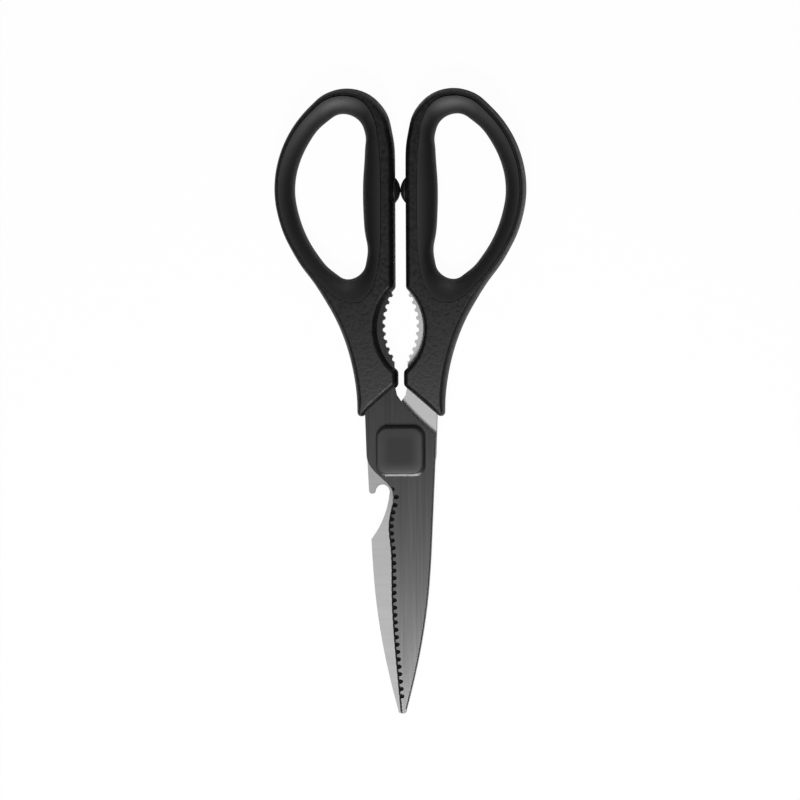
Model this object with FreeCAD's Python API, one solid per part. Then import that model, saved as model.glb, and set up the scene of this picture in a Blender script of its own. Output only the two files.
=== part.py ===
import FreeCAD, Part
import math
import os

# Kitchen shears, closed and lying flat. Millimetres.
# Origin: the pivot axis where it meets the surface that the shears lie on.
# +Y runs from the pivot to the finger loops, +Z is up, and the serrated blade is the upper one.
# The left half is drawn. The right half is the same blank and handle, given a half turn about the Y axis.

V = FreeCAD.Vector

# Pivot stack, from the surface upwards
CAP_HEIGHT = 3.25              # each pivot cap, from its blade's outer face
BLADE_THICKNESS = 2.4
BLADE_GAP = 0.1                # running gap between the two blades
RUN_GAP = 0.1                  # gap between the turning blade and what is fixed above it
SHOULDER_DIAMETER = 6.0        # screw shoulder that the serrated blade turns on
SHOULDER_CLEARANCE = 0.05      # radial running fit in the serrated blade
THREAD_DIAMETER = 5.0
SCREW_HEAD_DIAMETER = 10.0
SCREW_HEAD_HEIGHT = 1.7
SCREW_SLOT_WIDTH = 1.2
SCREW_SLOT_DEPTH = 0.8
WASHER_DIAMETER = 9.6
WASHER_THICKNESS = 0.5
NUT_ACROSS_FLATS = 8.0
NUT_HEIGHT = 1.5

# Pivot caps
CAP_SIZE = 17.0
CAP_CORNER_RADIUS = 3.6
CAP_BEVEL_WIDTH = 1.15
CAP_BEVEL_HEIGHT = 0.9
CAP_POCKET_CLEARANCE = 0.2     # round the washer, inside the front cap

# Blade blank in plan
BLADE_LENGTH = 89.15           # from the pivot axis to the tip
SPINE_TOP = (12.05, 5.1)       # corner where the crossing edge meets the spine
SPINE_BEND = (10.4, -30.4)     # end of the straight part of the spine
SPINE_END_SLANT = 15.5         # degrees from the blade's length, where the tip's rounding starts
CROSSING_NOTCH = (0.0, 17.0)   # bottom of the V between the two tangs
CROSSING_SIDE = (-1.45, 19.1)  # bend in the side of that V
CROSSING_MIDDLE = (5.1, 11.4)  # on the hollow crossing edge, between the V and the spine
SHOULDER_HALF_WIDTH = 12.2
SHOULDER_TAPER = 0.5           # how much narrower the shoulder is at its lower end
SHOULDER_END_Y = -1.2
RICASSO_CURVE = [(-10.4, -5.1), (-6.4, -9.3), (-3.2, -13.1), (-2.7, -15.6), (-3.5, -19.4)]
# The edge and the curved spine below the ricasso, stretched to the blade's length, with the tip last
EDGE_CURVE = [(-4.45, -24.7), (-3.9, -32.6), (-3.6, -47.0), (-2.75, -64.5), (-1.5, -79.0), (-0.68, -88.0)]
SPINE_CURVE = [(8.15, -56.6), (1.5, -87.9), (0.35, -89.15)]
EDGE_BEVEL_WIDTH = 0.85
EDGE_BEVEL_END_WIDTH = 0.05    # where the bevel runs out at the ricasso
EDGE_BEVEL_HEIGHT = 1.9
SPINE_CHAMFER = 0.35

# Serrations of the front blade
SERRATION_PITCH = 2.525
SERRATION_TIP_MARGIN = 4.5     # plain edge left between the last serration and the tip
SERRATION_RADIUS = 0.75
SERRATION_DEPTH = 2.05         # into the outer face, square to the edge
SERRATION_FIRST_DEPTH = 1.2    # the same, at the ricasso, where the grinding starts
SERRATION_LEAN = 40.0          # degrees, from the blade's thickness direction

# Bottle opener hook, cut into the spine of the rear blade, drawn before the half turn
HOOK_WIDTH = 1.95
HOOK_END_Y = -14.4
OPENER_CROWN = (6.8, -11.3)    # top of the opener notch
OPENER_THROAT = (4.15, -14.3)  # its inner side, where the long sweep starts
OPENER_SWEEP_MIDDLE = (6.2, -22.5)
OPENER_SWEEP_END = (9.95, -29.2)

# Tang inside the handle
TANG_WALL = 2.6                # plastic outside the tang, beside the neck
TANG_COVER = 1.2               # plastic between the tang and the nose, jaw end and inner side
TANG_TOP_Y = 47.0
TANG_LEG_TOP_Y = 60.5
TANG_LEG_WIDTH = 2.9
ANCHOR_DIAMETER = 3.6          # holes that the moulded plastic grips
ANCHORS = [(-11.2, 33.0), (-13.2, 41.5), (-8.0, 24.5)]

# Toothed jaw between the handles
JAW_Y = 41.7                   # middle of the jaw
JAW_TEETH = 9
JAW_PITCH = 2.64
JAW_TIP_RADIUS = 21.5          # radius of the arc through the tooth tips
JAW_TIP_DEPTH = 5.35           # tooth tips, from the middle plane between the handles
JAW_TOOTH_LIFT = 0.9           # middle of the tooth row above the middle of the jaw
JAW_GULLET_RADIUS = 0.85

# Handles
HANDLE_THICKNESS = 10.4
HANDLE_GAP = 3.7               # between the straight inner sides
NOSE_GAP = 2.0                 # between the bolster noses below the jaw
JAW_ARC_RADIUS = 18.9          # hollow of the plastic behind the teeth
JAW_ARC_DEPTH = 7.7
BOLSTER_HALF_WIDTH = 15.0
BOLSTER_SIDE_TOP_Y = 14.5
BOLSTER_CLEARANCE = 17.5       # from the pivot axis to the slanted lower edge
BOLSTER_SLANT = 41.0           # degrees, of the slanted lower edge's normal from +Y
HANDLE_EDGE_RADIUS = 1.0
HANDLE_CORNER_RADIUS = 1.4
NECK_LOW = (16.2, 26.5)
NECK_HIGH = (20.15, 40.3)

# Finger loop
LOOP_BASE_Y = 50.0
LOOP_LENGTH = 73.4             # from there to the top of the bow
LOOP_WIDTH = 41.1              # from the straight inner side to the widest point of the bow
# The curves round the loop, as distances from the middle plane, stretched to the loop's width and length
BOW_CURVE = [
    (1.85, 96.0), (2.4, 106.25), (5.6, 116.5), (11.6, 121.85), (18.3, 123.4), (24.9, 121.9), (31.7, 116.4),
    (38.9, 106.3), (42.95, 89.0), (40.7, 76.3), (35.45, 65.45), (28.2, 55.25),
]
SEAM_CURVE = [
    (18.8, 120.9), (24.1, 119.9), (30.3, 115.1), (37.4, 105.6), (41.5, 89.0), (39.4, 76.9), (34.1, 66.3),
    (26.3, 56.6), (21.0, 51.9), (16.4, 50.4), (12.3, 51.5), (9.4, 55.0), (7.5, 60.5), (6.5, 68.0),
    (6.15, 80.0), (6.2, 92.0), (6.9, 105.0), (8.5, 113.4), (12.2, 118.9),
]
HOLE_CURVE = [
    (19.4, 114.7), (26.4, 111.0), (32.1, 103.5), (36.1, 89.0), (34.4, 79.0), (29.3, 68.2), (23.5, 61.4),
    (18.0, 58.5), (13.0, 61.0), (11.4, 66.0), (12.4, 77.0), (12.75, 89.0), (12.0, 102.0), (11.8, 107.5),
    (13.9, 112.3),
]

# Soft grips round the finger holes
GRIP_THICKNESS = 11.4
GRIP_HOLE_EDGE_RADIUS = 2.6
GRIP_SEAM_EDGE_RADIUS = 0.9
TONGUE_DEPTH = 2.0             # hard tongue that locks the soft ring
TONGUE_THICKNESS = 3.2

# Stop buffers
BUFFER_Y = 88.7
BUFFER_DIAMETER = 8.8
BUFFER_GAP = 0.1               # between the two buffers when the shears are closed
BUFFER_STEM_DIAMETER = 4.0
BUFFER_STEM_LENGTH = 2.5

# Heights that follow from the stack
OPENER_BOTTOM = CAP_HEIGHT
OPENER_TOP = OPENER_BOTTOM + BLADE_THICKNESS
MID_Z = OPENER_TOP + BLADE_GAP / 2
SERRATED_BOTTOM = OPENER_TOP + BLADE_GAP
SERRATED_TOP = SERRATED_BOTTOM + BLADE_THICKNESS
WASHER_BOTTOM = SERRATED_TOP + RUN_GAP
NUT_BOTTOM = WASHER_BOTTOM + WASHER_THICKNESS
NUT_TOP = NUT_BOTTOM + NUT_HEIGHT
PAST = 5.0                     # how far a cutter reaches past what it cuts
SAME = 1e-4                    # two heights or places closer than this are the same


def flat(point):
    """A plan point as a vector."""
    return V(point[0], point[1], 0)


def leftward(point):
    """A handle point, drawn at its distance from the middle plane, on the left half."""
    return V(-point[0], point[1], 0)


def blade_point(point):
    """A point of the edge or the curved spine, stretched to the blade's length."""
    ricasso_end = RICASSO_CURVE[-1][1]
    share = (point[1] - ricasso_end) / (SPINE_CURVE[-1][1] - ricasso_end)
    return V(point[0], ricasso_end - share * (BLADE_LENGTH + ricasso_end), 0)


def loop_point(point):
    """A point of the left finger loop, stretched to the loop's width and length."""
    inner = BOW_CURVE[0][0]
    outer = max(place[0] for place in BOW_CURVE)
    top = max(place[1] for place in BOW_CURVE)
    across = HANDLE_GAP / 2 + LOOP_WIDTH * (point[0] - inner) / (outer - inner)
    along = LOOP_LENGTH * (point[1] - LOOP_BASE_Y) / (top - LOOP_BASE_Y)
    return V(-across, LOOP_BASE_Y + along, 0)


def line(start, end):
    return Part.LineSegment(start, end).toShape()


def arc(start, through, end):
    return Part.Arc(start, through, end).toShape()


def tangent_arc(start, heading, end):
    """Arc that leaves start along the heading and reaches end."""
    chord = end - start
    along = V(heading).normalize()
    square = chord - along * chord.dot(along)
    if square.Length < SAME:
        return line(start, end)
    radius = chord.dot(chord) / (2 * square.Length)
    centre = start + square.normalize() * radius
    middle = (start + end) * 0.5 - centre
    return arc(start, centre + middle.normalize() * radius, end)


def curve(points, start_heading, end_heading):
    """A smooth open curve through the points, with its direction given at both ends."""
    spline = Part.BSplineCurve()
    spline.interpolate(Points=points, InitialTangent=start_heading, FinalTangent=end_heading)
    return spline.toShape()


def passing_headings(points):
    """Direction in which a smooth path passes each point between the first and the last."""
    headings = []
    for before, here, after in zip(points, points[1:], points[2:]):
        back = here - before
        ahead = after - here
        heading = back * (ahead.Length / back.Length) + ahead * (back.Length / ahead.Length)
        headings.append(heading.normalize())
    return headings


def paired_arcs(points, headings):
    """Tangent arcs through the points, two to each span, with a direction at each point."""
    edges = []
    for start, end, leave, arrive in zip(points, points[1:], headings, headings[1:]):
        chord = end - start
        across = chord.dot(leave + arrive)
        spread = 2 * (1 - leave.dot(arrive))
        reach = chord.dot(chord) / (across + math.sqrt(across ** 2 + spread * chord.dot(chord)))
        joint = (start + end + (leave - arrive) * reach) * 0.5
        edges.append(tangent_arc(start, leave, joint))
        edges.append(tangent_arc(end, arrive * -1, joint))
    return edges


def arc_chain(points, start_heading, end_heading):
    """Open smooth path of arcs, with the direction given at both ends."""
    first = V(start_heading).normalize()
    last = V(end_heading).normalize()
    return paired_arcs(points, [first] + passing_headings(points) + [last])


def loop(points):
    """Closed smooth path of arcs, as a wire."""
    headings = passing_headings(points[-1:] + points + points[:1])
    return Part.Wire(Part.__sortEdges__(paired_arcs(points + points[:1], headings + headings[:1])))


def slab(wire, bottom, top):
    """The closed plan outline as a plate between two heights."""
    face = Part.Face(wire)
    face.translate(V(0, 0, bottom))
    return face.extrude(V(0, 0, top - bottom))


def middle_slab(wire, thickness):
    """The closed plan outline as a plate of this thickness, centred between the blades."""
    return slab(wire, MID_Z - thickness / 2, MID_Z + thickness / 2)


def cylinder(radius, bottom, top, x=0.0, y=0.0):
    return Part.makeCylinder(radius, top - bottom, V(x, y, bottom))


def half_turn(shape):
    """The same piece on the other half of the shears."""
    turned = shape.copy()
    turned.rotate(V(0, 0, MID_Z), V(0, 1, 0), 180)
    return turned


def level_edges(shape, heights):
    """Edges that lie flat at one of the heights."""
    found = []
    for edge in shape.Edges:
        box = edge.BoundBox
        if box.ZLength < SAME and any(abs(box.Center.z - z) < SAME for z in heights):
            found.append(edge)
    return found


def upright_edges(shape, places):
    """Edges that stand upright at one of the plan places."""
    found = []
    for edge in shape.Edges:
        box = edge.BoundBox
        level = max(box.XLength, box.YLength)
        if level < SAME < box.ZLength and any(flat(box.Center).distanceToPoint(p) < SAME for p in places):
            found.append(edge)
    return found


def spine_x(y):
    """Straight part of the spine."""
    slope = (SPINE_TOP[0] - SPINE_BEND[0]) / (SPINE_TOP[1] - SPINE_BEND[1])
    return SPINE_TOP[0] + slope * (y - SPINE_TOP[1])


def curved_spine():
    """Edges of the spine from the end of its straight part to the tip."""
    slant = math.radians(SPINE_END_SLANT)
    points = [flat(SPINE_BEND)] + [blade_point(point) for point in SPINE_CURVE[:-1]]
    return arc_chain(points, points[0] - flat(SPINE_TOP), V(-math.sin(slant), -math.cos(slant), 0))


def cutting_side():
    """Edge of the blank from the tip, up the cutting edge and round the ricasso to the shoulder."""
    shoulder_end = (SHOULDER_TAPER - SHOULDER_HALF_WIDTH, SHOULDER_END_Y)
    points = [blade_point(point) for point in reversed(EDGE_CURVE)]
    points += [flat(point) for point in reversed([shoulder_end] + RICASSO_CURVE)]
    return curve(points, points[1] - points[0], V(0, 1, 0))


def jaw_tip(turn):
    """Point of the tooth tip arc on the left tang, at an angle from the deepest point."""
    reach = JAW_TIP_DEPTH - JAW_TIP_RADIUS * (1 - math.cos(turn))
    return V(-reach, JAW_Y + JAW_TOOTH_LIFT + JAW_TIP_RADIUS * math.sin(turn), 0)


def blank_outline():
    """Plan outline of the serrated blade with its tang, before teeth and holes."""
    half_row = JAW_PITCH * JAW_TEETH / 2 / JAW_TIP_RADIUS
    jaw_top = jaw_tip(half_row)
    jaw_bottom = jaw_tip(-half_row)
    leg_inner = -HANDLE_GAP / 2 - TANG_COVER
    leg_outer = leg_inner - TANG_LEG_WIDTH
    leg_round = TANG_LEG_TOP_Y - TANG_LEG_WIDTH / 2
    nose = -NOSE_GAP / 2 - TANG_COVER
    nose_top = V(nose, jaw_bottom.y - TANG_COVER, 0)
    nose_low = V(nose, bolster_y(NOSE_GAP / 2 + TANG_COVER) + TANG_COVER, 0)
    shoulder_top = V(-SHOULDER_HALF_WIDTH, bolster_y(SHOULDER_HALF_WIDTH) + TANG_COVER, 0)
    neck_low = leftward(NECK_LOW) + V(TANG_WALL, 0, 0)
    neck_high = leftward(NECK_HIGH) + V(TANG_WALL, 0, 0)
    tang_top = V(neck_high.x + TANG_WALL, TANG_TOP_Y, 0)
    leg_foot = V(leg_outer, TANG_TOP_Y + 2 * TANG_LEG_WIDTH, 0)
    cutting = cutting_side()
    shoulder_end = cutting.Vertexes[-1].Point
    tip_end = cutting.Vertexes[0].Point
    up = V(0, 1, 0)
    edges = [
        line(flat(SPINE_TOP), flat(SPINE_BEND)),
        arc(blade_point(SPINE_CURVE[-2]), blade_point(SPINE_CURVE[-1]), tip_end),
        cutting,
        line(shoulder_end, shoulder_top),
        curve([shoulder_top, neck_low, neck_high], up, neck_high - neck_low),
        tangent_arc(neck_high, neck_high - neck_low, tang_top),
        curve([tang_top, leg_foot], V(1, 0, 0), up),
        line(leg_foot, V(leg_outer, leg_round, 0)),
        arc(V(leg_outer, leg_round, 0), V((leg_inner + leg_outer) / 2, TANG_LEG_TOP_Y, 0),
            V(leg_inner, leg_round, 0)),
        line(V(leg_inner, leg_round, 0), jaw_top),
        arc(jaw_top, jaw_tip(0.0), jaw_bottom),
        line(jaw_bottom, nose_top),
        line(nose_top, nose_low),
        line(nose_low, flat(CROSSING_SIDE)),
        line(flat(CROSSING_SIDE), flat(CROSSING_NOTCH)),
        arc(flat(CROSSING_NOTCH), flat(CROSSING_MIDDLE), flat(SPINE_TOP)),
    ]
    return Part.Wire(Part.__sortEdges__(edges + curved_spine()))


def blade_hole(radius, x=0.0, y=0.0):
    """Cutter of a round hole through the blade."""
    return cylinder(radius, SERRATED_BOTTOM - PAST, SERRATED_TOP + PAST, x, y)


def jaw_gullets():
    """Round gaps between the jaw teeth, as cutters."""
    step = JAW_PITCH / JAW_TIP_RADIUS
    first = -step * JAW_TEETH / 2
    cutters = []
    for number in range(JAW_TEETH + 1):
        place = jaw_tip(first + number * step)
        cutters.append(blade_hole(JAW_GULLET_RADIUS, place.x, place.y))
    return cutters


def edge_bevel():
    """Cutter of the steep bevel along the cutting edge, which runs out at the ricasso."""
    slope = EDGE_BEVEL_WIDTH / EDGE_BEVEL_HEIGHT
    points = [flat(point) for point in RICASSO_CURVE[-2:]] + [blade_point(point) for point in EDGE_CURVE]
    points.append(points[-1] + (points[-1] - points[-2]).normalize() * BLADE_THICKNESS)
    wires = []
    for z in (SERRATED_BOTTOM, SERRATED_TOP):
        inward = EDGE_BEVEL_WIDTH + (z - SERRATED_TOP) * slope
        moved = [points[0] + V(inward - EDGE_BEVEL_WIDTH + EDGE_BEVEL_END_WIDTH, 0, z)]
        moved += [point + V(inward, 0, z) for point in points[1:]]
        first = moved[0]
        last = moved[-1]
        outside = -SHOULDER_HALF_WIDTH
        wires.append(Part.Wire([
            curve(moved, moved[1] - moved[0], moved[-1] - moved[-2]),
            line(last, V(outside, last.y, z)),
            line(V(outside, last.y, z), V(outside, first.y, z)),
            line(V(outside, first.y, z), first),
        ]))
    return Part.makeLoft(wires, True, True)


def blade_blank(pivot_radius):
    """The stamping that both blades start from, lying as the serrated blade does."""
    blank = slab(blank_outline(), SERRATED_BOTTOM, SERRATED_TOP)
    spine_end = SPINE_CURVE[-2][0]
    spine = [edge for edge in level_edges(blank, [SERRATED_TOP])
             if edge.BoundBox.XMin > spine_end - SAME and edge.BoundBox.YMax < SPINE_TOP[1] + SAME]
    blank = blank.makeChamfer(SPINE_CHAMFER, spine)
    cutters = jaw_gullets() + [edge_bevel(), blade_hole(pivot_radius)]
    for x, y in ANCHORS:
        cutters.append(blade_hole(ANCHOR_DIAMETER / 2, x, y))
    return blank.cut(cutters)


def serrations():
    """Leaning round cutters, at an even pitch along the cutting edge from the ricasso to the tip."""
    side = cutting_side().Curve
    start = side.parameter(flat(RICASSO_CURVE[2]))
    toothed_length = side.length(side.FirstParameter, start) - SERRATION_TIP_MARGIN
    lean = math.radians(SERRATION_LEAN)
    cutters = []
    for number in range(int(toothed_length / SERRATION_PITCH) + 1):
        depth = SERRATION_DEPTH if number else SERRATION_FIRST_DEPTH
        spot = side.parameterAtDistance(-number * SERRATION_PITCH, start)
        place = side.value(spot)
        heading = side.tangent(spot)[0]
        inward = V(heading.y, -heading.x, 0)
        axis = inward * math.sin(lean) + V(0, 0, math.cos(lean))
        centre = place + inward * (depth - SERRATION_RADIUS / math.cos(lean)) + V(0, 0, SERRATED_TOP)
        cutters.append(Part.makeCylinder(SERRATION_RADIUS, 4 * PAST, centre - axis * 2 * PAST, axis))
    return cutters


def serrated_blade():
    return blade_blank(SHOULDER_DIAMETER / 2 + SHOULDER_CLEARANCE).cut(serrations())


def opener_notch():
    """Cutter of the bottle opener notch and of the round end of its hook."""
    tip_y = HOOK_END_Y + HOOK_WIDTH / 2
    outer = spine_x(HOOK_END_Y)
    inner = outer - HOOK_WIDTH
    outside = outer + 2 * PAST
    sweep = arc(flat(OPENER_THROAT), flat(OPENER_SWEEP_MIDDLE), flat(OPENER_SWEEP_END))
    exit_point = flat(OPENER_SWEEP_END) + sweep.tangentAt(sweep.LastParameter) * PAST
    edges = [
        sweep,
        line(flat(OPENER_SWEEP_END), exit_point),
        line(exit_point, V(outside, exit_point.y, 0)),
        line(V(outside, exit_point.y, 0), V(outside, tip_y, 0)),
        line(V(outside, tip_y, 0), V(outer, tip_y, 0)),
        arc(V(outer, tip_y, 0), V((outer + inner) / 2, HOOK_END_Y, 0), V(inner, tip_y, 0)),
        arc(V(inner, tip_y, 0), flat(OPENER_CROWN), flat(OPENER_THROAT)),
    ]
    return slab(Part.Wire(edges), SERRATED_BOTTOM - PAST, SERRATED_TOP + PAST)


def opener_blade():
    return half_turn(blade_blank(SHOULDER_DIAMETER / 2).cut(opener_notch()))


def bolster_y(reach):
    """Height in plan of the slanted bolster edge, at a distance from the middle plane."""
    slant = math.radians(BOLSTER_SLANT)
    return (BOLSTER_CLEARANCE - reach * math.sin(slant)) / math.cos(slant)


def jaw_arc_rise(reach):
    """Half height of the hollow jaw arc, at a distance from the middle plane."""
    return math.sqrt(JAW_ARC_RADIUS ** 2 - (reach - JAW_ARC_DEPTH + JAW_ARC_RADIUS) ** 2)


def handle_block():
    """The left handle as a solid block with rounded edges, before its hole and pockets."""
    inner = HANDLE_GAP / 2
    nose = NOSE_GAP / 2
    jaw_top = leftward((inner, JAW_Y + jaw_arc_rise(inner)))
    jaw_bottom = leftward((nose, JAW_Y - jaw_arc_rise(nose)))
    nose_low = leftward((nose, bolster_y(nose)))
    corner = leftward((BOLSTER_HALF_WIDTH, bolster_y(BOLSTER_HALF_WIDTH)))
    side_top = leftward((BOLSTER_HALF_WIDTH, BOLSTER_SIDE_TOP_Y))
    bow = [loop_point(point) for point in BOW_CURVE] + [leftward(NECK_HIGH), leftward(NECK_LOW), side_top]
    outline = Part.Wire(Part.__sortEdges__(arc_chain(bow, V(0, 1, 0), V(0, -1, 0)) + [
        line(side_top, corner),
        line(corner, nose_low),
        line(nose_low, jaw_bottom),
        arc(jaw_bottom, leftward((JAW_ARC_DEPTH, JAW_Y)), jaw_top),
        line(jaw_top, bow[0]),
    ]))
    block = middle_slab(outline, HANDLE_THICKNESS)
    corners = upright_edges(block, [jaw_top, jaw_bottom, nose_low, corner])
    block = block.makeFillet(HANDLE_CORNER_RADIUS, corners)
    faces = [MID_Z - HANDLE_THICKNESS / 2, MID_Z + HANDLE_THICKNESS / 2]
    return block.makeFillet(HANDLE_EDGE_RADIUS, level_edges(block, faces))


def seam_loop():
    return loop([loop_point(point) for point in SEAM_CURVE])


def tongue():
    """Hard rib round the inside of the seam, which the soft ring is moulded over."""
    inside = seam_loop().makeOffset2D(-TONGUE_DEPTH)
    return middle_slab(seam_loop(), TONGUE_THICKNESS).cut(middle_slab(inside, TONGUE_THICKNESS))


def buffer():
    """Domed stop button on the left handle's inner side, with its stem."""
    base = HANDLE_GAP / 2
    rise = base - BUFFER_GAP / 2
    radius = (BUFFER_DIAMETER ** 2 / 4 + rise ** 2) / (2 * rise)
    ball = Part.makeSphere(radius, V(-BUFFER_GAP / 2 - radius, BUFFER_Y, MID_Z))
    keep = Part.makeBox(base, BUFFER_DIAMETER, BUFFER_DIAMETER)
    keep.translate(V(-base, BUFFER_Y - BUFFER_DIAMETER / 2, MID_Z - BUFFER_DIAMETER / 2))
    stem = Part.makeCylinder(BUFFER_STEM_DIAMETER / 2, BUFFER_STEM_LENGTH,
                             V(-base - BUFFER_STEM_LENGTH, BUFFER_Y, MID_Z), V(1, 0, 0))
    return ball.common(keep).fuse(stem).removeSplitter()


def handle(blade):
    """Hard left handle, moulded over the tang of its blade."""
    body = handle_block().cut(middle_slab(seam_loop(), GRIP_THICKNESS + PAST))
    body = body.fuse(tongue())
    return body.cut([blade, buffer()])


def grip():
    """Soft left ring between the seam and the finger hole."""
    ring = middle_slab(seam_loop(), GRIP_THICKNESS)
    faces = [MID_Z - GRIP_THICKNESS / 2, MID_Z + GRIP_THICKNESS / 2]
    ring = ring.makeFillet(GRIP_SEAM_EDGE_RADIUS, level_edges(ring, faces))
    hole = middle_slab(loop([loop_point(point) for point in HOLE_CURVE]), GRIP_THICKNESS + PAST)
    outside = level_edges(ring, faces)
    ring = ring.cut(hole)
    rims = [edge for edge in level_edges(ring, faces)
            if all(abs(edge.Length - other.Length) > SAME for other in outside)]
    ring = ring.makeFillet(GRIP_HOLE_EDGE_RADIUS, rims)
    return ring.cut(tongue())


def pivot_screw():
    """Shoulder screw, head down, with a slot in its head."""
    head_bottom = OPENER_BOTTOM - SCREW_HEAD_HEIGHT
    head = cylinder(SCREW_HEAD_DIAMETER / 2, head_bottom, OPENER_BOTTOM)
    slot = Part.makeBox(SCREW_HEAD_DIAMETER, SCREW_SLOT_WIDTH, SCREW_SLOT_DEPTH)
    slot.translate(V(-SCREW_HEAD_DIAMETER / 2, -SCREW_SLOT_WIDTH / 2, head_bottom))
    shoulder = cylinder(SHOULDER_DIAMETER / 2, OPENER_BOTTOM, WASHER_BOTTOM)
    thread = cylinder(THREAD_DIAMETER / 2, WASHER_BOTTOM, NUT_TOP)
    return head.cut(slot).fuse([shoulder, thread]).removeSplitter()


def hexagon(across_flats, bottom, top):
    corners = []
    for number in range(7):
        turn = math.radians(60 * number)
        reach = across_flats / math.sqrt(3)
        corners.append(V(reach * math.cos(turn), reach * math.sin(turn), 0))
    return slab(Part.makePolygon(corners), bottom, top)


def pivot_nut():
    body = hexagon(NUT_ACROSS_FLATS, NUT_BOTTOM, NUT_TOP)
    return body.cut(cylinder(THREAD_DIAMETER / 2, NUT_BOTTOM, NUT_TOP))


def spring_washer():
    ring = cylinder(WASHER_DIAMETER / 2, WASHER_BOTTOM, NUT_BOTTOM)
    return ring.cut(cylinder(THREAD_DIAMETER / 2, WASHER_BOTTOM, NUT_BOTTOM))


def rounded_square(size, radius, z):
    """Square outline with round corners, centred on the pivot axis."""
    half = size / 2
    straight = half - radius
    middle = straight + radius * math.sqrt(0.5)
    edges = []
    for number in range(4):
        side = [V(-straight, half, z), V(straight, half, z)]
        bend = [V(straight, half, z), V(middle, middle, z), V(half, straight, z)]
        for edge in (line(*side), arc(*bend)):
            edge.rotate(V(0, 0, 0), V(0, 0, 1), -90 * number)
            edges.append(edge)
    return Part.Wire(Part.__sortEdges__(edges))


def cap_block(base, top):
    """Square cover from its seat to its top face, with a bevelled rim."""
    step = CAP_BEVEL_HEIGHT if top > base else -CAP_BEVEL_HEIGHT
    plain = slab(rounded_square(CAP_SIZE, CAP_CORNER_RADIUS, 0), min(base, top - step), max(base, top - step))
    bevel = Part.makeLoft([
        rounded_square(CAP_SIZE, CAP_CORNER_RADIUS, top - step),
        rounded_square(CAP_SIZE - 2 * CAP_BEVEL_WIDTH, CAP_CORNER_RADIUS - CAP_BEVEL_WIDTH, top),
    ], True, True)
    return plain.fuse(bevel).removeSplitter()


def front_pivot_cap():
    """Upper cover, keyed on the nut and just clear of the blade that turns under it."""
    cap = cap_block(WASHER_BOTTOM, SERRATED_TOP + CAP_HEIGHT)
    pocket = cylinder(WASHER_DIAMETER / 2 + CAP_POCKET_CLEARANCE, WASHER_BOTTOM, NUT_BOTTOM)
    return cap.cut([pocket, hexagon(NUT_ACROSS_FLATS, NUT_BOTTOM, NUT_TOP)])


def rear_pivot_cap(screw):
    """Lower cover, keyed in the slot of the screw head. The shears lie on its flat face."""
    return cap_block(OPENER_BOTTOM, OPENER_BOTTOM - CAP_HEIGHT).cut(screw)


blade = serrated_blade()
drawn_handle = handle(blade)
drawn_grip = grip()
screw = pivot_screw()
parts = {
    "serrated_blade": blade,
    "opener_blade": opener_blade(),
    "left_handle": drawn_handle,
    "right_handle": half_turn(drawn_handle),
    "left_grip": drawn_grip,
    "right_grip": half_turn(drawn_grip),
    "left_stop_buffer": buffer(),
    "right_stop_buffer": half_turn(buffer()),
    "pivot_screw": screw,
    "pivot_nut": pivot_nut(),
    "spring_washer": spring_washer(),
    "front_pivot_cap": front_pivot_cap(),
    "rear_pivot_cap": rear_pivot_cap(screw),
}

os.makedirs("parts", exist_ok=True)
for name, shape in parts.items():
    shape.exportStep("parts/" + name + ".step")
    print(name, shape.isValid(), len(shape.Solids), round(shape.Volume, 1), shape.BoundBox)
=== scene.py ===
"""Kitchen shears: the finish of every visible piece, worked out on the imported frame."""
import math

import bmesh
import bpy
import numpy as np
from mathutils import Euler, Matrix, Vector
from mathutils.geometry import tessellate_polygon


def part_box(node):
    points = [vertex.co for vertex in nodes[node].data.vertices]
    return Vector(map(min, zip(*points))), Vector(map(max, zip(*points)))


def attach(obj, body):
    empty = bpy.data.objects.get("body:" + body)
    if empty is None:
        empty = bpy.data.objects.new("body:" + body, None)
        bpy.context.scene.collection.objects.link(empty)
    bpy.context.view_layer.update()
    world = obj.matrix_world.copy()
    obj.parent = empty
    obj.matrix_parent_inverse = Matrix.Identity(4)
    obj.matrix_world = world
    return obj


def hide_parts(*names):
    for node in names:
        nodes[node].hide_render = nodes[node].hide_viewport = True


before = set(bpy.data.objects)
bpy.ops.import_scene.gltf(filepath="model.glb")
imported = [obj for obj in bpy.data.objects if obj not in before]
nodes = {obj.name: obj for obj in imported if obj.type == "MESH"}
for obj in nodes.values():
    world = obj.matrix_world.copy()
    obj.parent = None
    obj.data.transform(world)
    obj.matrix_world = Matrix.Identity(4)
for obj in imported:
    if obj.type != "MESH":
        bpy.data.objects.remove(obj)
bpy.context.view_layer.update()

MM = 0.001

# Outlines cut from the solids, at a depth under each solid's top
MERGE_DISTANCE = 0.0001 * MM
PATH_STEP = 0.4 * MM
PATH_SOFTENING = 0.35 * MM
HANDLE_CUT_DEPTH = 1.5 * MM
GRIP_CUT_DEPTH = 3.2 * MM

# Hard handles, with reach and spreads in steps of the path
EDGE_STEPS = 10
EDGE_RISE_SHARE = 0.95
EDGE_WIDTH = 2.0 * MM
CORNER_SHARE = 0.75
BAND_SHARE = 0.75
CORNER_REACH = 5
TURN_SPREAD = 1.5
ROUNDING_SPREAD = 4.0
LEAST_TURN = 1e-4
LIP_ROUNDING = 0.1 * MM
TAPER_START = 56.0 * MM
TAPER_END = 20.0 * MM
TAPER_DROP = 1.3 * MM
TAPER_CUTS = 24

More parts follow.
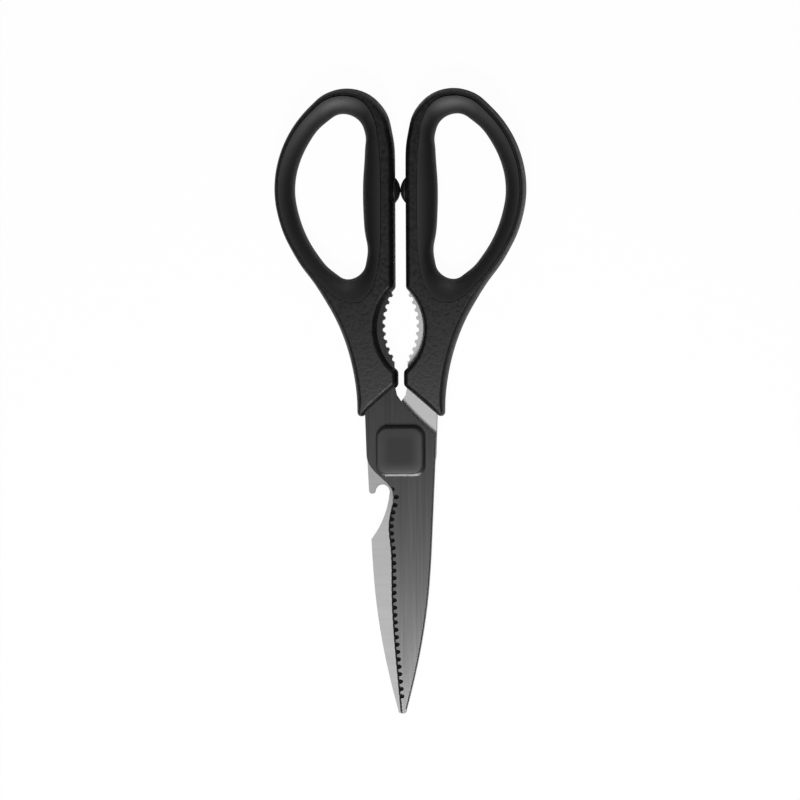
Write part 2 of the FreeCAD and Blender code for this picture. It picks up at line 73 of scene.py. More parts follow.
# Soft grips
GRIP_SEAM_GAP = 0.12 * MM
GRIP_SEAM_ROUNDING = 0.03 * MM
GRIP_SEAM_DEPTH = 0.5 * MM
GRIP_FOOT_REACH = 0.3 * MM
GRIP_SEAM_SLOPE = 0.12
GRIP_HOLE_DEPTH = 5.2 * MM
GRIP_SECTIONS = 420
GRIP_SAMPLES = 4 * GRIP_SECTIONS
GRIP_SEAM_STEPS = 4
GRIP_FIRST_TURN = 0.004
GRIP_FALL_STEPS = 26

# Stop buttons
STOP_GAP = 0.03 * MM
STOP_RISE = 1.85 * MM
STOP_STEPS = 12
STOP_RINGS = 64

# Pivot caps
CAP_CORNER_RADIUS = 3.6 * MM
CAP_WALL_LEAN = 0.65 * MM
CAP_EDGE_RADIUS = 0.6 * MM
CAP_EDGE_TURN = math.radians(82)
CAP_EDGE_STEPS = 8
CAP_FACE_REACH = 3.6 * MM
CAP_FACE_DROP = 0.15 * MM
CAP_FACE_STEPS = 12
CAP_CORNER_STEPS = 10

# Blades, with painted light and shade on the ground face as places along the blade and shares of white:
# painted shade darkens the hook, painted light lifts the tang to full white
GROUND_PAINTED_LIGHT_AND_SHADE = [(-22.0 * MM, 0.83), (-15.0 * MM, 0.75), (-4.0 * MM, 0.75), (4.0 * MM, 1.0)]
OUTER_FINISH, INNER_FINISH, STAMPED_FINISH, EDGE_FINISH = range(4)
FLAT_ANGLE = math.radians(0.4)
SMOOTH_ANGLE = math.radians(28)
LEVEL_FACE = 0.98
UPRIGHT_FACE = 0.1
SPINE_FACE = 0.2

# Levels that most of a noise lies between
NOISE_LOW = 0.3
NOISE_HIGH = 0.7

# View, with the roll in radians, and lens and sensor in the millimetres that a camera takes
PHOTO_PIXELS = 800
PIXEL_SIZE = 0.3398 * MM
VIEW_CENTRE = (-0.2 * MM, 17.4 * MM)
VIEW_ROLL = -0.0043
VIEW_TILT = math.radians(6.6)
OUTLINE_HEIGHT = 7.8 * MM
LENS = 1000.0
SENSOR = 36.0

# Floor and light, in metres
FLOOR_REACH = 20.0
FLOOR_GAP = 0.02 * MM
FLOOR_GREY = 0.9
FLOOR_WHITE_SHARE = 0.97
SKY_DARK = 0.02
SKY_PALE = 0.3
SKY_RAMP = (0.25, 0.9)
LAMP_POWER_FACTOR = 4


def surface(name, points, faces, materials, flat_faces=()):
    """A mesh object from points and faces, smooth except for the faces named flat."""
    mesh = bpy.data.meshes.new(name)
    mesh.from_pydata(points.tolist(), [], [list(map(int, face)) for face in faces])
    smooth = np.ones(len(mesh.polygons), dtype=bool)
    smooth[list(flat_faces)] = False
    mesh.polygons.foreach_set("use_smooth", smooth)
    for material in materials:
        mesh.materials.append(material)
    mesh.update()
    piece = bpy.data.objects.new(name, mesh)
    bpy.context.scene.collection.objects.link(piece)
    return piece


def place(piece, body, node):
    """The piece moves with its body and stands for its solid, which is hidden."""
    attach(piece, body)
    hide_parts(node)


def solid_triangles(node):
    """Corners of a solid's triangles, as an array of triangle by corner by coordinate."""
    mesh = nodes[node].data
    corners = np.empty(len(mesh.vertices) * 3, dtype=np.float32)
    mesh.vertices.foreach_get("co", corners)
    mesh.calc_loop_triangles()
    order = np.empty(len(mesh.loop_triangles) * 3, dtype=np.int32)
    mesh.loop_triangles.foreach_get("vertices", order)
    return corners.reshape(-1, 3).astype(float)[order.reshape(-1, 3)]


def cut_loops(node, height):
    """Closed outlines where a level plane cuts a solid, longest first, each with the solid on its left.

    An edge that crosses the plane is cut at the share (height - lower) / (upper - lower) of its length. Each
    cut triangle gives one run, from the edge that falls through the plane to the edge that rises through it,
    and runs are joined where one ends and the next starts.
    """
    triangles = solid_triangles(node)
    above = triangles[:, :, 2] > height
    cut = above.any(axis=1) & ~above.all(axis=1)
    triangles, above = triangles[cut], above[cut]
    following, above_next = np.roll(triangles, -1, axis=1), np.roll(above, -1, axis=1)

    def crossing(edges, lower, upper):
        lower, upper = lower[edges], upper[edges]
        share = (height - lower[:, 2]) / (upper[:, 2] - lower[:, 2])
        return (lower + share[:, None] * (upper - lower))[:, :2]

    start = crossing(above & ~above_next, following, triangles)
    end = crossing(~above & above_next, triangles, following)
    keys = [tuple(key) for key in np.round(start / MERGE_DISTANCE).astype(int)]
    end_keys = [tuple(key) for key in np.round(end / MERGE_DISTANCE).astype(int)]
    waiting = dict(zip(keys, range(len(keys))))
    loops = []
    while waiting:
        first, index = waiting.popitem()
        loop = [index]
        while end_keys[index] != first:
            index = waiting.pop(end_keys[index])
            loop.append(index)
        loops.append(start[loop])
    return sorted(loops, key=lambda loop: -np.abs(np.diff(loop, axis=0)).sum())


def bell_mean(values, spread):
    """Values round a closed path, each a bell-weighted mean of its neighbours within about spread steps."""
    weight = np.exp(-2 * (np.pi * np.fft.fftfreq(len(values)) * spread) ** 2)
    weight = weight.reshape(-1, *[1] * (values.ndim - 1))
    return np.fft.ifft(np.fft.fft(values, axis=0) * weight, axis=0).real


def even_path(loop, step=PATH_STEP):
    """A closed outline at even steps of its length, softened over about a third of a millimetre."""
    closed = np.vstack([loop, loop[:1]])
    travelled = np.concatenate([[0], np.cumsum(np.hypot(*np.diff(closed, axis=0).T))])
    count = round(travelled[-1] / step)
    stations = np.arange(count) * travelled[-1] / count
    path = np.column_stack([np.interp(stations, travelled, closed[:, axis]) for axis in (0, 1)])
    return bell_mean(path, PATH_SOFTENING / step)


def outward(path):
    """Level unit directions out of the solid: the path's own direction, a quarter turn to the right."""
    along = np.roll(path, -1, axis=0) - np.roll(path, 1, axis=0)
    along /= np.linalg.norm(along, axis=1, keepdims=True)
    return np.column_stack([along[:, 1], -along[:, 0]])


def quads(rings, across, first=0, closed=False):
    """Faces between neighbouring points of a grid whose rings close. Where closed, its rows close too."""
    steps = across if closed else across - 1
    ring, step = np.meshgrid(np.arange(rings), np.arange(steps), indexing="ij")
    here, ahead = ring * across, (ring + 1) % rings * across
    beside = (step + 1) % across
    corners = np.stack([here + step, ahead + step, ahead + beside, here + beside], axis=-1)
    return first + corners.reshape(-1, 4)


def fill(points, rings, upward):
    """Triangles over the level area that rings of points enclose, facing up or down."""
    order = np.concatenate(rings)
    triangles = order[np.array(tessellate_polygon([[Vector(points[i]) for i in ring] for ring in rings]))]
    side = points[triangles[:, 1:]] - points[triangles[:, :1]]
    facing_up = side[:, 0, 0] * side[:, 1, 1] - side[:, 0, 1] * side[:, 1, 0] > 0
    return np.where((facing_up == upward)[:, None], triangles, triangles[:, ::-1])


def rounded_wall(path, width, rise, low, high):
    """Upright wall along a path, with a quarter ellipse at its foot and at its top.

    The angle runs from -90 to 90 degrees. A point lies width * (1 - cos angle) inside the path, and
    rise * sin angle from the height where its quarter ellipse begins.
    """
    angle = np.concatenate([np.linspace(-np.pi / 2, 0, EDGE_STEPS), np.linspace(0, np.pi / 2, EDGE_STEPS)])
    width = np.broadcast_to(width, len(path))[:, None]
    begins = np.where(np.arange(2 * EDGE_STEPS) < EDGE_STEPS, low + rise, high - rise)
    inset = width * (1 - np.cos(angle))
    plan = path[:, None] - outward(path)[:, None] * inset[..., None]
    return np.dstack([plan, np.broadcast_to(begins + rise * np.sin(angle), inset.shape)])


def edge_width(path, seam):
    """Width of the rounded edge at each point of a handle's outline.

    A corner's radius is a step of the path over its turn there. The width stays under a share of that radius
    and of the hard band left beside the seam. The least value within a few steps is spread along the path.
    """
    direction = outward(path)
    ahead = np.roll(direction, -1, axis=0)
    sideways = direction[:, 0] * ahead[:, 1] - direction[:, 1] * ahead[:, 0]
    turn = np.arctan2(sideways, (direction * ahead).sum(axis=1))
    corner = PATH_STEP / np.maximum(bell_mean(turn, TURN_SPREAD), LEAST_TURN)
    band = np.linalg.norm(path[:, None] - seam[None], axis=2).min(axis=1) - LIP_ROUNDING
    allowed = np.clip(np.minimum(CORNER_SHARE * corner, BAND_SHARE * band), None, EDGE_WIDTH)
    least = np.min([np.roll(allowed, shift) for shift in range(-CORNER_REACH, CORNER_REACH + 1)], axis=0)
    return bell_mean(least, ROUNDING_SPREAD)


def taper(piece, middle, half):
    """Thins a handle towards its blade: heights about the middle shrink with the square of the way there.

    The faces are cut across at even steps first, so that they can follow the curve.
    """
    work = bmesh.new()
    work.from_mesh(piece.data)
    for along in np.linspace(TAPER_START, TAPER_END, TAPER_CUTS):
        parts = [*work.verts, *work.edges, *work.faces]
        bmesh.ops.bisect_plane(work, geom=parts, plane_co=(0, along, 0), plane_no=(0, 1, 0))
    work.to_mesh(piece.data)
    work.free()
    corners = np.empty(len(piece.data.vertices) * 3)
    piece.data.vertices.foreach_get("co", corners)
    corners = corners.reshape(-1, 3)
    way = np.clip((TAPER_START - corners[:, 1]) / (TAPER_START - TAPER_END), 0, None)
    corners[:, 2] = middle + (corners[:, 2] - middle) * (1 - TAPER_DROP / half * way ** 2)
    piece.data.vertices.foreach_set("co", corners.ravel())
    piece.data.update()


def handle(node, name, body, material):
    """Hard moulded half: a rounded wall along the outline, a small lip along the seam, flat faces between."""
    low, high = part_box(node)
    outline, seam = [even_path(loop) for loop in cut_loops(node, high[2] - HANDLE_CUT_DEPTH)[:2]]
    rise = EDGE_RISE_SHARE * (high[2] - low[2]) / 2
    wall = rounded_wall(outline, edge_width(outline, seam), rise, low[2], high[2])
    lip = rounded_wall(seam, LIP_ROUNDING, LIP_ROUNDING, low[2], high[2])
    points = np.vstack([wall.reshape(-1, 3), lip.reshape(-1, 3)])
    across = 2 * EDGE_STEPS
    wall_index = np.arange(len(outline) * across).reshape(-1, across)
    lip_index = len(outline) * across + np.arange(len(seam) * across).reshape(-1, across)
    strips = [*quads(len(outline), across), *quads(len(seam), across, lip_index[0, 0])]
    top = fill(points, [wall_index[:, -1], lip_index[:, -1]], True)
    bottom = fill(points, [wall_index[:, 0], lip_index[:, 0]], False)
    faces = [*strips, *top, *bottom]
    piece = surface(name, points, faces, [material], range(len(strips), len(faces)))
    taper(piece, (low[2] + high[2]) / 2, (high[2] - low[2]) / 2)
    place(piece, body, node)


def by_angle(loop, centre, angles):
    """The points of a closed loop at given angles about a centre."""
    arm = loop - centre
    angle = np.arctan2(arm[:, 1], arm[:, 0])
    return np.column_stack([np.interp(angles, angle, loop[:, axis], period=2 * np.pi) for axis in (0, 1)])


def grip_section(width, crown_height, seam_foot):
    """Upper half of a grip's section, as distances from the seam and heights above the middle.

    A level foot reaches under the hard lip and closes the seam's groove, and a quarter circle comes up out of
    it. From there the section falls into the finger hole: the drop is a steady slope plus a quarter ellipse,
    whose distance goes with the sine of an angle and whose drop goes with one minus the cosine. A first short
    step keeps the shading of the seam's edge off the slope.
    """
    turn = np.linspace(0, np.pi / 2, GRIP_SEAM_STEPS)
    fall = np.concatenate([[GRIP_FIRST_TURN], np.linspace(0, np.pi / 2, GRIP_FALL_STEPS)[1:]])
    rounded = GRIP_SEAM_GAP + GRIP_SEAM_ROUNDING
    span = width[:, None] - rounded
    unit = np.ones_like(span)
    sloped = GRIP_SEAM_SLOPE * span
    distance = np.hstack([
        -unit * GRIP_FOOT_REACH,
        unit * GRIP_SEAM_GAP,
        unit * (rounded - GRIP_SEAM_ROUNDING * np.cos(turn)),
        rounded + span * np.sin(fall),
    ])
    height = np.hstack([
        unit * [seam_foot, seam_foot],
        unit * (crown_height - GRIP_SEAM_ROUNDING * (1 - np.sin(turn))),
        crown_height - sloped * np.sin(fall) - (GRIP_HOLE_DEPTH - sloped) * (1 - np.cos(fall)),
    ])
    return distance, height


def grip(node, name, body, handle_node, material):
    """Soft ring: the section carried round the finger hole, from the seam's outline to the hole's outline.

    The sections stand at even steps of the ring midway between the two outlines.
    """
    low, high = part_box(node)
    middle = (low[2] + high[2]) / 2
    seam, hole = [even_path(loop) for loop in cut_loops(node, high[2] - GRIP_CUT_DEPTH)[:2]]
    centre = hole.mean(axis=0)
    turn = np.linspace(-np.pi, np.pi, GRIP_SAMPLES, endpoint=False)
    mean_ring = (by_angle(seam, centre, turn) + by_angle(hole, centre, turn)) / 2
    ring = even_path(mean_ring, step=np.hypot(*np.diff(mean_ring, axis=0).T).sum() / GRIP_SECTIONS)
    angles = np.arctan2(*(ring - centre).T[::-1])
    outer, inner = by_angle(seam, centre, angles), by_angle(hole, centre, angles)
    span = inner - outer
    width = np.hypot(*span.T)
    hard_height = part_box(handle_node)[1][2] - middle
    crown_height = high[2] - middle
    distance, height = grip_section(width, crown_height, hard_height - GRIP_SEAM_DEPTH)
    distance = np.hstack([distance, distance[:, ::-1]])
    height = np.hstack([height, -height[:, ::-1]])
    plan = outer[:, None] + (span / width[:, None])[:, None] * distance[..., None]
    points = np.dstack([plan, middle + height]).reshape(-1, 3)
    piece = surface(name, points, quads(*height.shape, closed=True), [material])
    place(piece, body, node)


def stop_button(node, name, body, material):
    """Soft dome that stops the handles: a ball's cap turned about the level axis towards the other handle.

    With rise and rim radius known, the ball's radius is (rim squared + rise squared) / (2 * rise). A ring at
    angle a has the radius ball * sin a, and stands ball * (1 - cos a) behind the dome's top.
    """
    low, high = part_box(node)
    centre = (np.array(low) + np.array(high)) / 2
    side = np.sign(centre[0])
    rim = (high[1] - low[1]) / 2
    top = side * STOP_GAP / 2
    ball = (rim ** 2 + STOP_RISE ** 2) / (2 * STOP_RISE)
    angle = np.linspace(np.arcsin(rim / ball), 0, STOP_STEPS)
    turn = np.linspace(0, 2 * np.pi, STOP_RINGS, endpoint=False) * side
    ring = ball * np.sin(angle)
    away = top + side * ball * (1 - np.cos(angle))
    grid = np.dstack([
        np.broadcast_to(away, (STOP_RINGS, STOP_STEPS)),
        centre[1] - np.cos(turn)[:, None] * ring,
        centre[2] + np.sin(turn)[:, None] * ring,
    ])
    points = np.vstack([grid[:, :-1].reshape(-1, 3), [[top, centre[1], centre[2]]]])
    across = STOP_STEPS - 1
    last = np.arange(STOP_RINGS) * across + across - 1
    tip = np.column_stack([last, np.roll(last, -1), np.full(STOP_RINGS, len(points) - 1)])
    foot = [np.arange(STOP_RINGS)[::-1] * across]
    piece = surface(name, points, [*quads(STOP_RINGS, across), *tip, *foot], [material])
    place(piece, body, node)


def rounded_square(half):
    """A square path with round corners: corner centres plus a radius turned through a quarter circle each."""
    quarter = np.linspace(0, np.pi / 2, CAP_CORNER_STEPS)
    angle = np.concatenate([quarter + corner * np.pi / 2 for corner in range(4)])
    corner = np.repeat(np.arange(4), CAP_CORNER_STEPS)
    sign = np.array([[1, 1], [-1, 1], [-1, -1], [1, -1]])[corner]
    arm = np.column_stack([np.cos(angle), np.sin(angle)])
    return sign * (half - CAP_CORNER_RADIUS) + arm * CAP_CORNER_RADIUS


def cap_profile(height):
    """Inset and height of the cap's side, and how near each point is to the face's rim.

    A leaning wall ends in an arc of a circle over the edge. From there the face rises inwards, and what it
    still has to rise is the drop times the cube of the way left to the level middle. Nearness goes from 0 on
    the wall up to 1 over the arc, and falls to 0 again towards the middle. The material reads nearness as a
    painted highlight over the rim, with painted shade on the wall.
    """
    turn = np.linspace(0, CAP_EDGE_TURN, CAP_EDGE_STEPS)
    way = np.linspace(1, 0, CAP_FACE_STEPS)[1:]
    edge_inset = CAP_WALL_LEAN + CAP_EDGE_RADIUS * (1 - np.cos(turn))
    edge_height = height - CAP_FACE_DROP + CAP_EDGE_RADIUS * (np.sin(turn) - np.sin(CAP_EDGE_TURN))
    inset = np.concatenate([[0], edge_inset, edge_inset[-1] + CAP_FACE_REACH * (1 - way)])
    level = np.concatenate([[0], edge_height, height - CAP_FACE_DROP * way ** 3])
    return inset, level, np.concatenate([[0], turn / CAP_EDGE_TURN, way])


def pivot_cap(node, name, top_side, material):
    """Square cover: the side's profile carried round a rounded square, with a level middle and underside."""
    low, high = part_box(node)
    half = (high[0] - low[0]) / 2
    inset, height, rim = cap_profile(high[2] - low[2])
    path = rounded_square(half)
    rings, across = len(path), len(inset)
    plan = path[:, None] * (1 - inset / half)[:, None]
    level = np.broadcast_to(low[2] + height if top_side else high[2] - height, (rings, across))
    points = np.dstack([plan, level]).reshape(-1, 3)
    strips = quads(rings, across)
    if not top_side:
        strips = strips[:, ::-1]
    index = np.arange(rings * across).reshape(rings, across)
    ends = [*fill(points, [index[:, -1]], top_side), *fill(points, [index[:, 0]], not top_side)]
    faces = [*strips, *ends]
    piece = surface(name, points, faces, [material], range(len(strips), len(faces)))
    # Nearness to the rim, which the cap's material turns into a painted highlight on the arc and painted
    # shade on the wall
    painted_rim_highlight = piece.data.attributes.new("rim", "FLOAT", "POINT")
    painted_rim_highlight.data.foreach_set("value", np.tile(rim, rings))
    place(piece, "right_half", node)


def merged_copy(node, name, materials):
    """A solid's own surface as a new piece, with its loose triangles merged into whole flats."""
    triangles = solid_triangles(node)
    keys = np.round(triangles.reshape(-1, 3) / MERGE_DISTANCE).astype(int)
    _, first, order = np.unique(keys, axis=0, return_index=True, return_inverse=True)
    corners = order.reshape(-1, 3)
    whole = (corners != np.roll(corners, 1, axis=1)).all(axis=1)
    piece = surface(name, triangles.reshape(-1, 3)[first], corners[whole], materials)
    work = bmesh.new()
    work.from_mesh(piece.data)
    bmesh.ops.dissolve_limit(work, angle_limit=FLAT_ANGLE, verts=work.verts, edges=work.edges)
    work.to_mesh(piece.data)
    work.free()
    return piece


def blade(node, name, body, outer_up, materials):
    """A stamped blade: the solid's own faces, each with the finish that its direction tells.

    A level face is the outer or the inner one, and an upright face is a stamped wall. A slanted face towards
    the spine is finished like the outer face. Other slanted faces are the cutting bevel and the serrations.
    """
    piece = merged_copy(node, name, materials)
    faces = piece.data.polygons
    normal = np.empty(len(faces) * 3)
    faces.foreach_get("normal", normal)
    side = 1 if outer_up else -1
    rise, to_spine = side * normal[2::3], side * normal[0::3]
    finish = np.select(
        [rise > LEVEL_FACE, rise < -LEVEL_FACE, np.abs(rise) < UPRIGHT_FACE, to_spine > SPINE_FACE],
        [OUTER_FINISH, INNER_FINISH, STAMPED_FINISH, OUTER_FINISH],
        EDGE_FINISH,
    )
    faces.foreach_set("material_index", finish.astype(np.int32))
    faces.foreach_set("use_smooth", np.ones(len(faces), dtype=bool))
    piece.data.set_sharp_from_angle(angle=SMOOTH_ANGLE)
    place(piece, body, node)


def grey(level):
    """A colour with the same level in all channels."""
    return (level, level, level)


def new_material(name, colour, roughness, metallic=0.0, specular=0.5):
    """A surface with one shader. Returns the material, its node tree and the shader."""
    material = bpy.data.materials.new(name)
    material.use_nodes = True
    tree = material.node_tree
    shader = tree.nodes["Principled BSDF"]
    shader.inputs["Base Color"].default_value = (*colour, 1)
    shader.inputs["Roughness"].default_value = roughness
    shader.inputs["Metallic"].default_value = metallic
    shader.inputs["Specular IOR Level"].default_value = specular
    return material, tree, shader


def grain(tree, scale, detail, stretch=(1, 1, 1)):
    """Noise on the piece's own coordinates, with scale in grains per metre, stretched along each axis."""
    spot = tree.nodes.new("ShaderNodeTexCoord")
    mapping = tree.nodes.new("ShaderNodeMapping")
    mapping.inputs["Scale"].default_value = stretch
    noise = tree.nodes.new("ShaderNodeTexNoise")
    noise.inputs["Scale"].default_value = scale
    noise.inputs["Detail"].default_value = detail
    tree.links.new(spot.outputs["Object"], mapping.inputs["Vector"])
    tree.links.new(mapping.outputs["Vector"], noise.inputs["Vector"])
    return noise.outputs["Fac"]


def ranged(tree, value, low, high, start=NOISE_LOW, end=NOISE_HIGH):
    """A value spread from low to high, as it goes from start to end."""
    spread = tree.nodes.new("ShaderNodeMapRange")
    spread.inputs["From Min"].default_value = start
    spread.inputs["From Max"].default_value = end
    spread.inputs["To Min"].default_value = low
    spread.inputs["To Max"].default_value = high
    tree.links.new(value, spread.inputs["Value"])
    return spread.outputs["Result"]


def shades(tree, value, dark, light, start=NOISE_LOW, end=NOISE_HIGH):
    """A colour from dark to light, as a value goes from start to end."""
    ramp = tree.nodes.new("ShaderNodeValToRGB")
    ramp.color_ramp.elements[0].position = start
    ramp.color_ramp.elements[1].position = end
    ramp.color_ramp.elements[0].color = (*dark, 1)
    ramp.color_ramp.elements[1].color = (*light, 1)
    tree.links.new(value, ramp.inputs["Fac"])
    return ramp.outputs["Color"]


def relief(tree, shader, value, depth, strength):
    """Bump from a noise value, with its depth in metres."""
    bump = tree.nodes.new("ShaderNodeBump")
    bump.inputs["Strength"].default_value = strength
    bump.inputs["Distance"].default_value = depth
    tree.links.new(value, bump.inputs["Height"])
    tree.links.new(bump.outputs["Normal"], shader.inputs["Normal"])


def spark_plastic():
    """Hard black plastic with the mottled texture of a spark-eroded mould."""
    material, tree, shader = new_material(
        "spark_plastic", colour=(0.003, 0.003, 0.0031), roughness=0.48, specular=0.4)
    mottle = grain(tree, scale=800, detail=4.0)
    colour = shades(tree, mottle, dark=(0.002, 0.002, 0.0021), light=(0.004, 0.004, 0.0042))
    tree.links.new(colour, shader.inputs["Base Color"])
    tree.links.new(ranged(tree, mottle, low=0.38, high=0.58), shader.inputs["Roughness"])
    relief(tree, shader, mottle, depth=0.08 * MM, strength=0.8)
    return material


def soft_rubber(name):
    """Satin black rubber with a very fine moulded skin."""
    dark, light = (0.0025, 0.0025, 0.0026), (0.003125, 0.003125, 0.00325)
    material, tree, shader = new_material(name, colour=dark, roughness=0.54, specular=0.62)
    skin = grain(tree, scale=3500, detail=2.0)
    tree.links.new(shades(tree, skin, dark, light), shader.inputs["Base Color"])
    tree.links.new(ranged(tree, skin, low=0.51, high=0.59), shader.inputs["Roughness"])
    relief(tree, shader, skin, depth=0.01 * MM, strength=0.25)
    return material


def painted_light_along_blade(tree, painted_stops):
    """Painted light and shade as a grey by the place along the blade, going straight from each stop's place
    to the next one's.
    """
    spot = tree.nodes.new("ShaderNodeTexCoord")
    parts = tree.nodes.new("ShaderNodeSeparateXYZ")
    tree.links.new(spot.outputs["Object"], parts.inputs["Vector"])
    start, end = painted_stops[0][0], painted_stops[-1][0]
    way = ranged(tree, parts.outputs["Y"], 0, 1, start, end)
    ramp = tree.nodes.new("ShaderNodeValToRGB")
    stops = ramp.color_ramp.elements
    for station, _ in painted_stops[1:-1]:
        stops.new((station - start) / (end - start))
    for stop, (_, share) in zip(stops, painted_stops):
        stop.color = (*grey(share), 1)
    tree.links.new(way, ramp.inputs["Fac"])
    return ramp.outputs["Color"]


def steel(name, dark, light, smooth, rough, stretch, lines, painted_stops=None):
    """Metal with fine ground lines along one direction, which change its tone and its gloss a little.

    Where stops of painted light and shade are given, the colour is multiplied by them along the blade, darker
    where shade is painted and full where light is painted.
    """
    material, tree, shader = new_material(name, colour=light, roughness=rough, metallic=1.0)
    streaks = grain(tree, scale=lines, detail=3.0, stretch=stretch)
    colour = shades(tree, streaks, dark, light)
    # Painted light and shade: the colour times a grey that changes along the blade
    if painted_stops:
        product = tree.nodes.new("ShaderNodeVectorMath")
        product.operation = "MULTIPLY"
        tree.links.new(colour, product.inputs[0])
        tree.links.new(painted_light_along_blade(tree, painted_stops), product.inputs[1])
        colour = product.outputs["Vector"]
    tree.links.new(colour, shader.inputs["Base Color"])
    tree.links.new(ranged(tree, streaks, smooth, rough), shader.inputs["Roughness"])
    relief(tree, shader, streaks, depth=0.004 * MM, strength=0.15)
    return material


def painted_shade_edge():
    """Steel of the serrations and the cutting bevel, painted near black as painted shade, with hardly any
    gloss.
    """
    material, tree, shader = new_material("painted_shade_edge", colour=grey(0.003), roughness=0.5, specular=0.06)
    specks = grain(tree, scale=2500, detail=2.0)
    tree.links.new(shades(tree, specks, dark=grey(0.002), light=grey(0.004)), shader.inputs["Base Color"])
    tree.links.new(ranged(tree, specks, low=0.4, high=0.55), shader.inputs["Roughness"])
    return material


def cap_plastic_painted_rim():
    """Satin dark grey plastic with a faint moulded grain, paler over the face's rim as a painted highlight,
    and dark on the wall as painted shade.
    """
    dark, painted_highlight_grey = grey(0.009), grey(0.036)
    material, tree, shader = new_material("cap_plastic_painted_rim", colour=dark, roughness=0.54, specular=0.4)
    # The rim attribute lightens the edge's arc as a painted highlight and leaves the wall dark as painted
    # shade
    rim = tree.nodes.new("ShaderNodeAttribute")
    rim.attribute_name = "rim"
    tree.links.new(shades(tree, rim.outputs["Fac"], dark, painted_highlight_grey, start=0, end=1), shader.inputs["Base Color"])
    skin = grain(tree, scale=2600, detail=2.0)
    tree.links.new(ranged(tree, skin, low=0.49, high=0.59), shader.inputs["Roughness"])
    relief(tree, shader, skin, depth=0.01 * MM, strength=0.2)
    return material


def dress(node, material):
    """A solid that keeps its own shape gets a finish."""
    nodes[node].data.materials.clear()
    nodes[node].data.materials.append(material)


def floor_paper():
    """White paper, which the camera sees mostly as its own white, with a small part of the shadow kept."""
    material = bpy.data.materials.new("white_floor")
    material.use_nodes = True
    tree = material.node_tree
    tree.nodes.clear()
    paper = tree.nodes.new("ShaderNodeBsdfDiffuse")
    paper.inputs["Color"].default_value = (*grey(FLOOR_GREY), 1)
    white = tree.nodes.new("ShaderNodeEmission")
    white.inputs["Strength"].default_value = 1.0
    seen = tree.nodes.new("ShaderNodeMixShader")
    seen.inputs["Fac"].default_value = FLOOR_WHITE_SHARE
    tree.links.new(paper.outputs[0], seen.inputs[1])
    tree.links.new(white.outputs[0], seen.inputs[2])
    ray = tree.nodes.new("ShaderNodeLightPath")
    chosen = tree.nodes.new("ShaderNodeMixShader")
    tree.links.new(ray.outputs["Is Camera Ray"], chosen.inputs["Fac"])
    tree.links.new(paper.outputs[0], chosen.inputs[1])
    tree.links.new(seen.outputs[0], chosen.inputs[2])
    out = tree.nodes.new("ShaderNodeOutputMaterial")
    tree.links.new(chosen.outputs[0], out.inputs["Surface"])
    return material


def white_floor():
    """A level sheet, a hair under the shears."""
    corner = np.array([[-1, -1], [1, -1], [1, 1], [-1, 1]]) * FLOOR_REACH
    points = np.column_stack([corner, np.full(4, -FLOOR_GAP)])
    surface("floor", points, [[0, 1, 2, 3]], [floor_paper()])


def studio_sky():
    """World light by the size of the direction's Y: pale before and behind the shears, dark elsewhere."""
    world = bpy.data.worlds.new("studio_sky")
    bpy.context.scene.world = world
    world.use_nodes = True
    tree = world.node_tree
    direction = tree.nodes.new("ShaderNodeTexCoord")
    parts = tree.nodes.new("ShaderNodeSeparateXYZ")
    tree.links.new(direction.outputs["Generated"], parts.inputs["Vector"])
    lengthwise = tree.nodes.new("ShaderNodeMath")
    lengthwise.operation = "ABSOLUTE"
    tree.links.new(parts.outputs["Y"], lengthwise.inputs[0])
    colour = shades(tree, lengthwise.outputs["Value"], grey(SKY_DARK), grey(SKY_PALE), *SKY_RAMP)
    tree.links.new(colour, tree.nodes["Background"].inputs["Color"])
    tree.nodes["Background"].inputs["Strength"].default_value = 1.0


def softbox(name, place_at, width, length, brightness):
    """A soft rectangular lamp that faces the pivot. Its power is its brightness times area times a factor."""
    lamp = bpy.data.lights.new(name, "AREA")
    lamp.shape = "RECTANGLE"
    lamp.size = width
    lamp.size_y = length
    lamp.energy = brightness * LAMP_POWER_FACTOR * width * length
    holder = bpy.data.objects.new(name, lamp)
    holder.location = place_at
    holder.rotation_euler = Vector(place_at).to_track_quat("Z", "Y").to_euler()
    holder.visible_camera = False
    bpy.context.scene.collection.objects.link(holder)


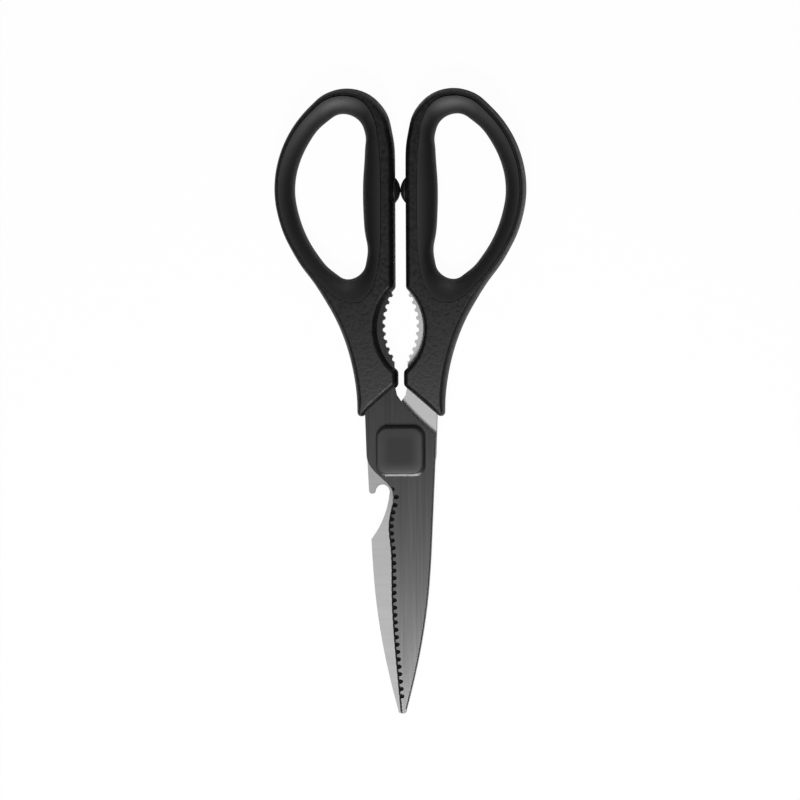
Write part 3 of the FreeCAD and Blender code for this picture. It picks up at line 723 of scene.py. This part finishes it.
def photo_camera():
    """Down on the shears, a little from the right, at the distance where a pixel has its size."""
    lens = bpy.data.cameras.new("photo_camera")
    lens.lens = LENS
    lens.sensor_width = SENSOR
    lens.clip_end = 2 * FLOOR_REACH
    camera = bpy.data.objects.new("photo_camera", lens)
    distance = PHOTO_PIXELS * PIXEL_SIZE * LENS / SENSOR
    turn = Euler((0, VIEW_TILT, VIEW_ROLL))
    camera.rotation_euler = turn
    camera.location = Vector((*VIEW_CENTRE, OUTLINE_HEIGHT)) + turn.to_matrix() @ Vector((0, 0, distance))
    bpy.context.scene.collection.objects.link(camera)
    bpy.context.scene.camera = camera


hard_black = spark_plastic()
soft_black = soft_rubber("satin_rubber")
stop_black = soft_rubber("stop_rubber")
satin_steel = steel(
    "satin_steel", dark=(0.345, 0.345, 0.35), light=(0.375, 0.375, 0.38),
    smooth=0.212, rough=0.228, stretch=(1, 0.015, 1), lines=1600)
# The ground face carries painted light at the tang and painted shade at the hook
ground_steel = steel(
    "ground_steel", dark=(0.645, 0.639, 0.642), light=(0.715, 0.706, 0.709),
    smooth=0.8, rough=0.9, stretch=(0.06, 1, 1), lines=1500, painted_stops=GROUND_PAINTED_LIGHT_AND_SHADE)
# Stamped steel of the upright walls, its grey set low so that the walls also carry painted shade
stamped_steel_painted_shade = steel(
    "stamped_steel_painted_shade", dark=grey(0.1), light=grey(0.17),
    smooth=0.35, rough=0.5, stretch=(1, 1, 0.1), lines=1500)
turned_steel = steel(
    "turned_steel", dark=grey(0.45), light=grey(0.55),
    smooth=0.25, rough=0.35, stretch=(1, 1, 1), lines=2500)
cap_grey = cap_plastic_painted_rim()
blade_finishes = [satin_steel, ground_steel, stamped_steel_painted_shade, painted_shade_edge()]

for half in ("left", "right"):
    handle(f"{half}_handle", f"{half}_hard_body", f"{half}_half", hard_black)
    grip(f"{half}_grip", f"{half}_soft_ring", f"{half}_half", f"{half}_handle", soft_black)
    stop_button(f"{half}_stop_buffer", f"{half}_stop_button", f"{half}_half", stop_black)
pivot_cap("front_pivot_cap", "front_cover", True, cap_grey)
pivot_cap("rear_pivot_cap", "rear_cover", False, cap_grey)
blade("serrated_blade", "front_blade", "left_half", True, blade_finishes)
blade("opener_blade", "rear_blade", "right_half", False, blade_finishes)
for hardware in ("pivot_screw", "pivot_nut", "spring_washer"):
    dress(hardware, turned_steel)

bpy.context.scene.view_settings.view_transform = "Standard"
white_floor()
studio_sky()
softbox("key", place_at=(0.0, -0.221, 0.4), width=0.16, length=0.13, brightness=26.5)
softbox("fill", place_at=(0.0, 0.49, 0.22), width=0.3, length=0.12, brightness=2.2)
photo_camera()
